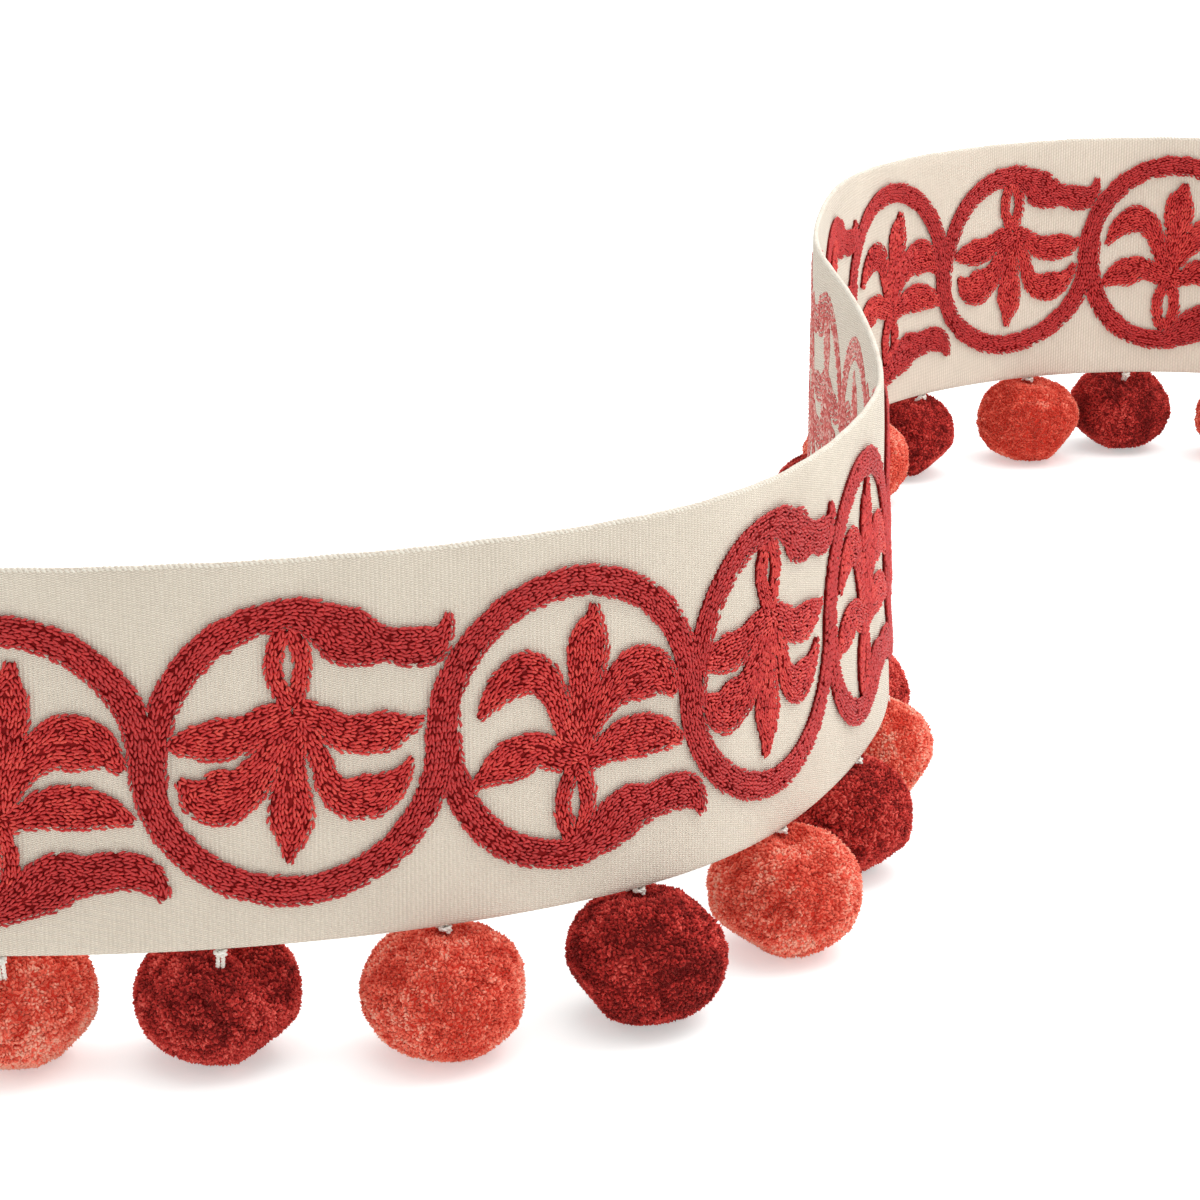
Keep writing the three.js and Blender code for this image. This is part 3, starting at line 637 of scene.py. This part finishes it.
# One chain link of thread: two plump legs that spread from a point, so each row looks knitted
def linkTool():
    points, faces, threads = [], [], []
    rings = [(-0.42, 0.25, 0.06, 0.27, 0.25), (0.36, 0.44, 0.09, 0.31, 0.29)]  # x, y, z, width, height
    for side in (1, -1):
        first = len(points)
        points.append((-1.0, side * 0.06, -0.20))
        threads.append((0, 0))
        for at, (x, y, z, wide, high) in enumerate(rings):
            for corner in range(4):
                turn = corner * math.pi / 2
                points.append((x, side * y + wide * math.cos(turn), z + high * math.sin(turn)))
                threads.append(((at + 1) / 3, corner / 4))
        points.append((0.98, side * 0.40, -0.22))
        threads.append((1, 0))
        last = len(points) - 1
        for k in range(4):
            a, b = first + 1 + k, first + 1 + (k + 1) % 4
            faces += [(first, b, a), (a, b, b + 4, a + 4), (a + 4, b + 4, last)]
    tool = newPiece("chain_link", np.array(points) * mm, faces)
    keepValues(tool, "thread", "FLOAT2", threads)
    return tool


# A short straight stitch, as the thread shows on the tape's back
def dashTool():
    points = [(-0.72, 0, -0.1), (0, 0.31, -0.05), (0, 0, 0.2), (0, -0.31, -0.05), (0.72, 0, -0.1),
              (0, 0, -0.15)]
    faces = [(0, 2, 1), (0, 3, 2), (1, 2, 4), (2, 3, 4), (0, 1, 5), (0, 5, 3), (1, 4, 5), (3, 5, 4)]
    tool = newPiece("back_dash", np.array(points) * mm, faces)
    keepValues(tool, "thread", "FLOAT2", [(0, 0), (0.5, 0.5), (0.5, 0.25), (0.5, 0), (1, 0), (0.5, 0.75)])
    return tool


def stitchTree():
    tree, given = newTree("stitches", {
        "Object": ["Link"], "Float": ("Scale", "Turn Jitter", "Size Jitter"), "Int": ["Seed"]})
    points = given["Geometry"]
    link = points.node("GeometryNodeObjectInfo", values={"Object": given["Link"]}, out="Geometry")
    jitter = points.chance(given["Seed"], -1.0)
    swell = points.chance(given["Seed"] + 7, -1.0)
    facing, way = points.kept("FLOAT_VECTOR", "facing"), points.kept("FLOAT_VECTOR", "way")
    swung = way + way.maths("CROSS_PRODUCT", facing) * (jitter * given["Turn Jitter"])
    upright = points.node("FunctionNodeAlignRotationToVector", {"axis": "Z"}, {"Vector": facing})
    turned = points.node("FunctionNodeAlignRotationToVector", {"axis": "X", "pivot_axis": "Z"},
                         {"Rotation": upright, "Vector": swung})
    placed = points.node("GeometryNodeInstanceOnPoints", values={
        "Points": points, "Instance": link, "Rotation": turned,
        "Scale": (1 + swell * given["Size Jitter"]) * given["Scale"]})
    endTree(tree, placed, given["Material"])
    return tree


threadLook = {
    "cloudScale": 60, "patchScale": 450, "fibreScale": 2600, "cloud": 0.4, "patch": 0.45, "fibre": 0.5,
    "ply": 0.06, "darker": 0.18, "pliesAlong": 2.2, "pliesAround": 3, "bumpDepth": 0.1,
}


def chainThread(name, deep, plain, bright, gloss=0.4, speckle=0.36):
    look = threadLook
    material, shader, place = newMaterial(name)
    along, around = place.painted("thread", "Vector").parts()[:2]
    fibre = place.noise(look["fibreScale"], 3, {"Distortion": 2})
    ply = ((along * look["pliesAlong"] + around * look["pliesAround"]) * 2 * math.pi).maths("SINE")
    # The ply stripes in the tone, lighter and darker along the twist, are painted highlight and groove shade;
    # the rest is the thread's own tone
    tone = (place.painted("shade") * speckle + place.noise(look["cloudScale"], 3) * look["cloud"]
            + place.noise(look["patchScale"], 2) * look["patch"] + fibre * look["fibre"] + ply * look["ply"]
            - speckle / 2 - look["darker"])
    bump = (ply * 0.5 + fibre * 0.8).bump(0.5, look["bumpDepth"])
    feed(shader, {"Base Color": tone.ramp([(0.0, deep), (0.5, plain), (1.0, bright)]), "Normal": bump,
                  "Roughness": fibre * 0.35 + 0.3, "Specular IOR Level": gloss, "Sheen Weight": 0.03,
                  "Sheen Roughness": 0.4, "Sheen Tint": bright})
    return material


def laidStitches(name, stitches, out, link, material, seed, scale=1.0):
    heading = headingAt(stitches[:, 0])
    face = 1 if out > 0 else -1
    dice = np.random.default_rng(seed)
    jitter = dice.normal(0, stitch["heightJitter"], len(stitches))
    height = out + face * (stitch["crown"] * stitches[:, 4] + jitter)
    piece = newPiece(name, onTape(stitches[:, 0], stitches[:, 1], height if face > 0 else out))
    ways = np.stack([np.cos(heading) * stitches[:, 2], np.sin(heading) * stitches[:, 2], stitches[:, 3]], 1)
    ways /= np.linalg.norm(ways, axis=1)[:, None]
    keepValues(piece, "way", "FLOAT_VECTOR", ways)
    keepValues(piece, "facing", "FLOAT_VECTOR",
               np.stack([np.sin(heading), -np.cos(heading), heading * 0], 1) * face)
    keepValues(piece, "shade", "FLOAT", dice.random(len(stitches)))
    return grow(piece, stitching, {**inputsFrom(stitch, (), ("Turn Jitter", "Size Jitter")),
                                   "Link": link, "Scale": scale, "Seed": seed, "Material": material})


taken = Taken()
link, dash = linkTool(), dashTool()
stitching = stitchTree()
redThread = chainThread("redChainThread", stitch["deep"], stitch["plain"], stitch["bright"])
vineThread = chainThread("vineChainThread", stitch["deep"], stitch["vine"], stitch["plain"])
frontOut = tape["thickness"] / 2 + stitch["base"] + stitch["rise"]
laid = {name: stitchesAlong(lines, taken, np.random.default_rng(71)) for name, lines in scrollLines.items()}
stitchPieces = []
for name, parts, thread in (("vine", 2, vineThread), ("branches", 2, vineThread), ("leaves", 4, redThread)):
    share = plan["length"] / parts
    for part in range(parts):
        rows = laid[name][(laid[name][:, 0] // share).astype(int) == part]
        stitchPieces.append(laidStitches(f"{name}_stitches_{part + 1}", rows, frontOut, link, thread,
                                         11 + len(stitchPieces)))
print("chain stitches laid:", [len(laid[name]) for name in laid])

# The same rows on the back, where short runs of a paler thread show
back = {"out": 0.17, "scale": 1.75, "gloss": 0.25, "speckle": 0.65,
        "deep": (0.46, 0.035, 0.03), "plain": (0.68, 0.15, 0.13), "bright": (0.90, 0.66, 0.58)}
backThread = chainThread("paleBackThread", back["deep"], back["plain"], back["bright"], back["gloss"],
                         back["speckle"])
backPiece = laidStitches("back_stitches", np.vstack(list(laid.values())),
                         -(tape["thickness"] / 2 + back["out"]), dash, backThread, 31, back["scale"])
print("back stitches laid")


# Thread bed: a low mound under the stitches, coloured a much darker red than the thread as painted shade in
# the gaps between stitches, so no cloth shows between them
bed = {"inset": 0.5, "narrowest": 0.15, "clear": 0.6, "sink": 0.2, "height": 0.5, "crown": 0.25,
       "shoulder": 0.82, "step": 1.1, "deep": (0.13, 0.004, 0.004), "plain": (0.26, 0.008, 0.008)}


def threadBed():
    points, faces = [], []
    low, top = tape["thickness"] / 2 - bed["sink"], tape["thickness"] / 2 + bed["height"]
    profile = [(-1, low), (-bed["shoulder"], top), (0, top + bed["crown"]), (bed["shoulder"], top), (1, low)]
    around = len(profile)
    clear = scroll["clearEnd"] + bed["clear"]
    for line in scrollLines["vine"] + scrollLines["branches"] + scrollLines["leaves"]:
        across = wayAcross(line)
        steps = lengthAlong(line)
        at = np.linspace(0, steps[-1], max(int(steps[-1] / bed["step"]), 2) + 1)
        u, v, w = (np.interp(at, steps, line[:, k]) for k in range(3))
        n, m = (np.interp(at, steps, across[:, k]) for k in range(2))
        half = np.maximum(w / 2 - bed["inset"], bed["narrowest"])
        for run in runsIn((u > clear) & (u < plan["length"] - clear)):
            if len(run) < 2:
                continue
            first = len(points)
            for i in run:
                for share, out in profile:
                    points.append(onTape(u[i] + n[i] * half[i] * share, v[i] + m[i] * half[i] * share, out))
            last = first + (len(run) - 1) * around
            for row in range(first, last, around):
                for k in range(around):
                    a, b = row + k, row + (k + 1) % around
                    faces.append((a, b, b + around, a + around))
            faces += [tuple(range(first, first + around))[::-1], tuple(range(last, last + around))]
    piece = newPiece("thread_bed", points, faces)
    piece.data.polygons.foreach_set("use_smooth", [True] * len(piece.data.polygons))
    return piece


bedPiece = threadBed()
# Its dark red is painted shade between the stitches
bedPiece.data.materials.append(chainThread("darkThreadBed", bed["deep"], bed["plain"], bed["plain"], 0.05))
print("thread bed made")


# Pompoms: where each hangs along the tape, how far its middle swings behind it, how its tone differs (partly
# dye, and partly painted shade that darkens the far ones), the depth and the heading of its cleft, and the
# two ways in which it is flattened
pompomRows = [dict(zip(("at", "behind", "dye", "cleft", "turn", "flats"), row)) for row in (
    (27.5, 13, 0.06, 0.10, 240, [(0.8, -0.4, -0.5), (0.3, -0.9, 0.4)]),
    (69, 12, -0.05, 0.30, -40, [(-0.7, -0.3, 0.66), (0.72, -0.4, -0.58)]),
    (113, 1.5, -0.08, 0.06, 60, [(-0.66, -0.3, 0.7), (0.96, -0.3, 0.1)]),
    (156, -2, -0.2, 0.08, 20, [(0.8, -0.3, 0.55), (-0.85, -0.3, -0.45)]),
    (202, -0.5, 0.0, 0.14, -60, [(-0.75, -0.3, 0.6), (-0.6, -0.4, -0.7)]),
    (250, 4, -0.04, 0.06, -30, [(0.55, -0.3, 0.78), (0.6, -0.5, -0.65)]),
    (295, 5, -0.03, 0.05, 140, [(0.85, -0.2, -0.5), (-0.2, -0.9, 0.4)]),
    (340, 6.5, 0.0, 0.08, 40, [(0.9, 0.3, 0.3), (-0.7, -0.5, 0.5)]),
    (384, 7, 0.0, 0.05, 250, [(-0.8, 0.4, 0.4), (0.5, -0.7, -0.5)]),
    (430, 4, 0.0, 0.09, 120, [(0.2, 0.9, 0.4), (-0.9, -0.1, -0.4)]),
    (478, 1, 0.0, 0.05, 10, [(-0.9, 0.2, 0.4), (0.3, 0.8, -0.5)]),
    (526, -1.5, 0.0, 0.1, 300, [(0.7, 0.6, 0.4), (-0.6, 0.5, -0.6)]),
    (573, 1, -0.1, 0.05, 70, [(0.3, -0.9, 0.3), (0.8, 0.4, -0.4)]),
    (610, 8, -0.1, 0.09, 210, [(0.6, -0.4, 0.7), (0.7, -0.3, -0.65)]),
    (654, 0.5, -0.34, 0.04, 330, [(-0.75, -0.3, 0.6), (0.85, -0.3, -0.5)]),
    (687, 9, -0.2, 0.12, 290, [(0.8, -0.3, 0.5), (-0.7, -0.3, -0.65)]),
    (726, 1, -0.15, 0.05, 150, [(-0.7, -0.5, 0.5), (0.6, 0.6, -0.5)]),
)]
pompom = {
    "radius": 16.2, "height": 26.6, "fullness": 2.2, "lump": 0.06, "clump": 0.05, "flat": 0.88, "pile": 0.4,
    "tuftGap": 0.62, "tuftWide": 0.46, "tuftLong": 0.66, "lean": 0.55, "dimple": 0.14, "crevice": 0.05,
    "creviceWide": 0.035, "cleftWide": 0.24, "dimpleWide": 0.27, "flatWander": 0.12, "flatPress": 0.85,
    "footGap": 0.6, "tuftFootGap": 0.1,
    "coralRoot": (0.60, 0.036, 0.020), "coralTip": (0.96, 0.165, 0.105), "coralPale": (0.98, 0.44, 0.32),
    "crimsonRoot": (0.14, 0.005, 0.005), "crimsonTip": (0.55, 0.037, 0.031),
    "crimsonPale": (0.84, 0.14, 0.11),
}


# A tuft of cut yarn: a blunt grain, seen end on
def tuftTool():
    ring = [(math.cos(k * math.pi / 2), math.sin(k * math.pi / 2), -0.1) for k in range(4)]
    faces = [(k, (k + 1) % 4, 4) for k in range(4)] + [(3, 2, 1, 0)]
    tool = newPiece("pile_tuft", ring + [(0.15, 0.1, 1)], faces)
    # Grains are darker towards their roots, and the body between them darker still, as painted shade deep in
    # the pile
    keepValues(tool, "tip", "FLOAT", [0.3, 0.3, 0.3, 0.3, 1])
    return tool


def pompomTree():
    tree, given = newTree("cutPilePompom", {
        "Vector": ("Middle", "Flat A", "Flat B", "Navel"), "Int": ["Seed"], "Object": ["Tuft"],
        "Float": ("Radius", "Height", "Pile", "Fullness", "Lump", "Clump", "Flat", "Dimple", "Crevice",
                  "Cleft", "Cleft Turn", "Tuft Gap", "Tuft Wide", "Tuft Long", "Lean", "Dye")})
    start, seed = given["Geometry"], given["Seed"]
    ball = start.node("GeometryNodeMeshIcoSphere", values={"Radius": 1.0, "Subdivisions": 5})

    # A ball that swells, with crevices, a cleft on one side and a dimple where the tie goes in
    way = start.node("GeometryNodeInputPosition")
    x, y, z = way.parts()
    full = given["Fullness"]
    share = ((x * x + y * y).maths("SQRT") ** full + z.maths("ABSOLUTE") ** full) ** (-1 / full)
    lump = way.noise(1.5, 1.5, seed=seed * 3.7)
    clump = way.noise(6.5, 3.5, {"Roughness": 0.68}, seed * 2.3)
    share = share * (1 + (lump - 0.5) * 2 * given["Lump"] + (clump - 0.5) * 2 * given["Clump"])
    fold = way.noise(3.4, 2, {"Distortion": 0.6}, seed * 1.9)
    crevice = (fold - 0.5).bell(pompom["creviceWide"]) * (lump - 0.1).between(0.32, 0.5)
    share = share - crevice * given["Crevice"]
    turn = given["Cleft Turn"]
    outward = x * turn.maths("COSINE") + y * turn.maths("SINE")
    across = y * turn.maths("COSINE") - x * turn.maths("SINE")
    groove = across.bell(pompom["cleftWide"]) * outward.between(-0.1, 0.25) * z.between(-0.1, 0.75)
    dimple = (way - given["Navel"]).maths("LENGTH").bell(pompom["dimpleWide"])
    share = share - groove * given["Cleft"] - dimple * given["Dimple"]
    shape = way * share
    for face in ("Flat A", "Flat B"):
        level = given["Flat"] + (lump - 0.5) * pompom["flatWander"]
        over = (shape.maths("DOT_PRODUCT", given[face]) - level).maths("MAXIMUM", 0)
        shape = shape - given[face] * (over * pompom["flatPress"])
    x, y, z = shape.parts()
    middle = given["Height"] / 2
    wide = given["Radius"] - given["Pile"]
    height = (middle + z * (middle - given["Pile"])).maths("MAXIMUM", pompom["footGap"] * mm)
    # How deep each place lies in a crevice, the cleft or the tie's dimple, kept for the material, which
    # darkens it as painted shade
    creaseShadedBall = ball.store("FLOAT", "deepness", crevice + groove * given["Cleft"] * 2 + dimple * 0.5)
    body = creaseShadedBall.moved({"Position": start.xyz(x * wide, y * wide, height)})

    # Tufts all over it, which lean in drifts
    points, normal = start.node("GeometryNodeDistributePointsOnFaces", {"distribute_method": "RANDOM"}, {
        "Mesh": body, "Density": 1.0 / given["Tuft Gap"] ** 2, "Seed": seed}, ("Points", "Normal"))
    place = start.node("GeometryNodeInputPosition")
    swirl = place.noise(130, 2.0, seed=seed * 1.1, out="Color")
    ruffle = place.noise(900, 1.0, seed=seed * 2.1, out="Color")
    aim = normal + ((swirl + ruffle) - (1.0, 1.0, 1.0)) * given["Lean"] * 2
    spin = start.xyz(z=start.chance(5, 0.0, 6.28))
    spun = start.node("FunctionNodeEulerToRotation", values={"Euler": spin})
    upright = start.node("FunctionNodeAlignRotationToVector", {"axis": "Z"},
                         {"Rotation": spun, "Vector": aim})
    size = start.xyz(given["Tuft Wide"] * start.chance(9, 0.5, 1.1),
                     given["Tuft Wide"] * start.chance(10, 0.8, 2.1),
                     given["Tuft Long"] * (0.7 + start.chance(12) * 0.6))
    tuft = start.node("GeometryNodeObjectInfo", values={"Object": given["Tuft"]}, out="Geometry")
    pile = start.node("GeometryNodeInstanceOnPoints", values={
        "Points": points.store("FLOAT", "shade", start.chance(3)), "Instance": tuft, "Rotation": upright,
        "Scale": size})
    real = start.node("GeometryNodeRealizeInstances", values={"Geometry": pile})
    whole = start.node("GeometryNodeJoinGeometry", values={"Geometry": [body, real]})
    x, y, z = place.parts()
    standing = start.xyz(x, y, z.maths("MAXIMUM", pompom["tuftFootGap"] * mm))
    # Each pompom's tone offset: its own dye, with painted shade making the far ones darker
    dyed = whole.store("FLOAT", "dye", given["Dye"])
    endTree(tree, dyed.moved({"Position": standing, "Offset": given["Middle"]}), given["Material"])
    return tree


pileLook = {
    "patchScale": 85, "blotScale": 360, "grainScale": 1100, "fuzzScale": 3200, "patch": 1.9, "blot": 1.2,
    "grain": 0.4, "tip": 0.4, "shade": 0.5, "rim": 0.3, "rimSheenSharpness": 2.5, "deepness": 0.45,
    "lighter": 0.29, "bumpDepth": 0.2,
}


def cutPile(name, root, tip, pale):
    look = pileLook
    material, shader, place = newMaterial(name)
    patch = place.noise(look["patchScale"], 3, {"Roughness": 0.6})
    blot = place.noise(look["blotScale"], 2)
    grain = place.noise(look["grainScale"], 2)
    mottle = (patch - 0.5) * look["patch"] + (blot - 0.5) * look["blot"] + (grain - 0.5) * look["grain"]
    # A paler rim where the surface turns away from the view, painted sheen
    rim = place.node("ShaderNodeLayerWeight", values={"Blend": 0.5}, out="Facing")
    # Tufts lighter towards their tips and the body between them darkest: painted shade deep in the pile
    tone = (place.painted("tip") * look["tip"] + (place.painted("shade") - 0.5) * look["shade"] + mottle
            + place.painted("dye") + rim ** look["rimSheenSharpness"] * look["rim"]
            - place.painted("deepness") * look["deepness"] + look["lighter"])
    feed(shader, {"Base Color": tone.ramp([(0.0, root), (0.62, tip), (1.0, pale)]), "Roughness": 0.9,
                  "Normal": place.noise(look["fuzzScale"], 2).bump(0.5, look["bumpDepth"]),
                  "Specular IOR Level": 0.12, "Sheen Weight": 0.5, "Sheen Roughness": 0.45,
                  "Sheen Tint": pale})
    return material


tuft = tuftTool()
pompomGrowth = pompomTree()
coral, crimson = (cutPile(dye + "CutPile", *[pompom[dye + part] for part in ("Root", "Tip", "Pale")])
                  for dye in ("coral", "crimson"))
pompomPieces = []
for number, row in enumerate(pompomRows, 1):
    foot = onTape(row["at"], 0, -row["behind"])
    piece = newPiece(f"cut_pile_pompom_{number:02d}", [(0, 0, 0)])
    flats = [tuple(Vector(face).normalized()) for face in row["flats"]]
    heading = headingAt(row["at"])
    off = row["behind"] / pompom["radius"]  # where the tie goes in
    navel = Vector((math.sin(heading) * off, -math.cos(heading) * off, math.sqrt(1 - off * off)))
    grow(piece, pompomGrowth, {
        **inputsFrom(pompom, ("Radius", "Height", "Pile", "Tuft Gap", "Tuft Wide", "Tuft Long"),
                     ("Fullness", "Lump", "Clump", "Flat", "Dimple", "Crevice", "Lean")),
        "Middle": (foot[0], foot[1], 0), "Flat A": flats[0], "Flat B": flats[1], "Navel": navel,
        "Cleft": row["cleft"], "Cleft Turn": math.radians(row["turn"]), "Dye": row["dye"], "Seed": number,
        "Tuft": tuft, "Material": coral if number % 2 else crimson})
    pompomPieces.append(piece)
print("pompoms grown")


# Ties: a doubled cord from the tape's back, knotted under its edge, down into the pompom
tie = {
    "spread": 0.95, "down": [(-1.4, 7), (-1.4, 2.5), (-1.1, 0.3), (-0.4, -0.8)],  # out and up, from the edge
    "into": [(-1.6, 1.8), (-4, 0)],  # out and up, from the pompom's top
    "knotOut": -0.4, "knotRadius": 0.95, "knotTurns": 1.3, "knotAt": 0.5, "knotPitch": 0.7, "cuts": 5,
    "step": 0.4, "strandRadius": 0.27, "twistRadius": 0.22, "twistLength": 2, "sides": 6,
    "light": (0.92, 0.89, 0.83), "shade": (0.72, 0.67, 0.59),
}


# How high the pompom stands under the tape's edge
def seatHeight(row):
    away = min(abs(row["behind"]) / pompom["radius"], 0.98)
    full = pompom["fullness"]
    return pompom["height"] / 2 * (1 + (1 - away ** full) ** (1 / full) - pompom["dimple"] * 0.8)


def tieLines(row):
    edge = plan["edgeHeight"]
    leg = tie["down"] + [(out, seatHeight(row) - edge + up) for out, up in tie["into"]]
    knot = []
    for k in range(int(tie["knotTurns"] * 8) + 1):
        turn = k * math.pi / 4
        knot.append((tie["knotOut"] + tie["knotRadius"] * math.sin(turn), tie["knotRadius"] * math.cos(turn),
                     -tie["knotAt"] - k / 8 * tie["knotPitch"]))
    legs = [[(out, side * tie["spread"] / 2, up) for out, up in leg] for side in (-1, 1)]
    heading = headingAt(row["at"])
    middle = onTape(row["at"], 0, 0) / mm
    for strand in (*legs, knot):
        stations = [(middle[0] + math.sin(heading) * out + math.cos(heading) * along,
                     middle[1] - math.cos(heading) * out + math.sin(heading) * along, edge + up)
                    for out, along, up in strand]
        yield smoothLine(stations, tie["cuts"]) * mm


tiePiece = growCord(newLines("tie_cords", [line for row in pompomRows for line in tieLines(row)]), tie,
                    "whiteTieCord")
print("ties laid")

for tool in (link, dash, tuft):
    bpy.data.objects.remove(tool)


# Studio: a pale glowing floor, and soft light from above and from the right
studio = {
    "sky": 0.73, "floor": (0.86, 0.885, 0.88), "floorReach": 12, "glow": 0.42, "glowColour": (0.91, 1, 0.98),
    "lights": [  # name, place, aim, size, power
        ("top_softbox", (0.1, 0.1, 1.8), (0, 0, 0), 1.8, 13.5),
        ("key_softbox", (1.0, 0.3, 1.3), (0, -0.05, 0.05), 1.2, 11.5),
        ("far_softbox", (0.55, -0.15, 0.5), (0.15, 0.2, 0.06), 0.6, 0.6)],
}


def studioFloor():
    material, shader, place = newMaterial("paleFloor")
    grain = place.noise(3, 2)
    tone = grain.blend(studio["floor"], tuple(value * 0.995 for value in studio["floor"]))
    feed(shader, {"Base Color": tone, "Roughness": 0.9, "Specular IOR Level": 0.1,
                  "Emission Color": studio["glowColour"], "Emission Strength": studio["glow"]})
    return material


reach = studio["floorReach"]
floor = newPiece("floor", [(-reach, -reach, 0), (reach, -reach, 0), (reach, reach, 0), (-reach, reach, 0)],
                 [(0, 1, 2, 3)])
floor.data.materials.append(studioFloor())
world = bpy.data.worlds.new("paleStudio")
world.use_nodes = True
world.node_tree.nodes["Background"].inputs["Color"].default_value = (1, 1, 1, 1)
world.node_tree.nodes["Background"].inputs["Strength"].default_value = studio["sky"]
bpy.context.scene.world = world
for name, place, aim, size, power in studio["lights"]:
    light = bpy.data.lights.new(name, "AREA")
    light.size = size
    light.energy = power
    lamp = bpy.data.objects.new(name, light)
    lamp.location = place
    lamp.rotation_euler = (Vector(aim) - Vector(place)).to_track_quat("-Z", "Y").to_euler()
    bpy.context.scene.collection.objects.link(lamp)
bpy.context.scene.view_settings.view_transform = "Standard"
print("studio lit")


# Each piece rides on the one body and stands for its solids
slots = [(tapePiece, "tape_cloth"), (edgePiece, "tape_cloth"), (bedPiece, "red_thread"),
         (backPiece, "red_thread"), (tiePiece, "white_cord"), *[(p, "red_thread") for p in stitchPieces],
         *[(p, "coral_yarn" if i % 2 == 0 else "crimson_yarn") for i, p in enumerate(pompomPieces)]]
for piece, slot in slots:
    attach(piece, "root")
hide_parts("tape")
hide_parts("embroidery")
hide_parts(*[f"loop_{number:02d}" for number in range(1, 18)])
for number, piece in enumerate(pompomPieces, 1):
    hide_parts(f"pompom_{number:02d}")
